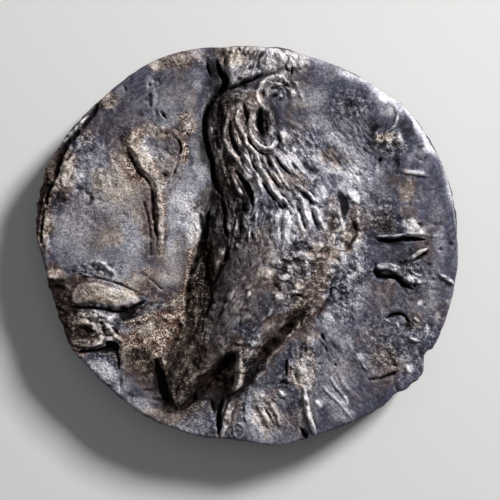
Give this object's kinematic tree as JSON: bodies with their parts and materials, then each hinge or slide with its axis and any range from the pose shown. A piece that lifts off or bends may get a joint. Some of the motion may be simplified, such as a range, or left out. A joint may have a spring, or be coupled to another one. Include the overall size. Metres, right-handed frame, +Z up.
{
  "type": "ancient silver drachm coin",
  "caption": "Struck ancient silver coin: an upright eagle in worn relief on its face, a sunk square punch on its underside, and a rounded, uneven edge. It lies flat.",
  "frame": {"origin": "centre of the bounding box, on the flat plane of the underside", "axes": "+Z up out of the struck face, +Y towards the bird's head, +X towards the right of the face"},
  "size_m": [0.016, 0.0152, 0.003],
  "materials": {
    "toned_silver": "worn struck silver with dark toning and earthy crust in its hollows"
  },
  "bodies": {
    "root": {"coin": "toned_silver"}
  },
  "joints": []
}
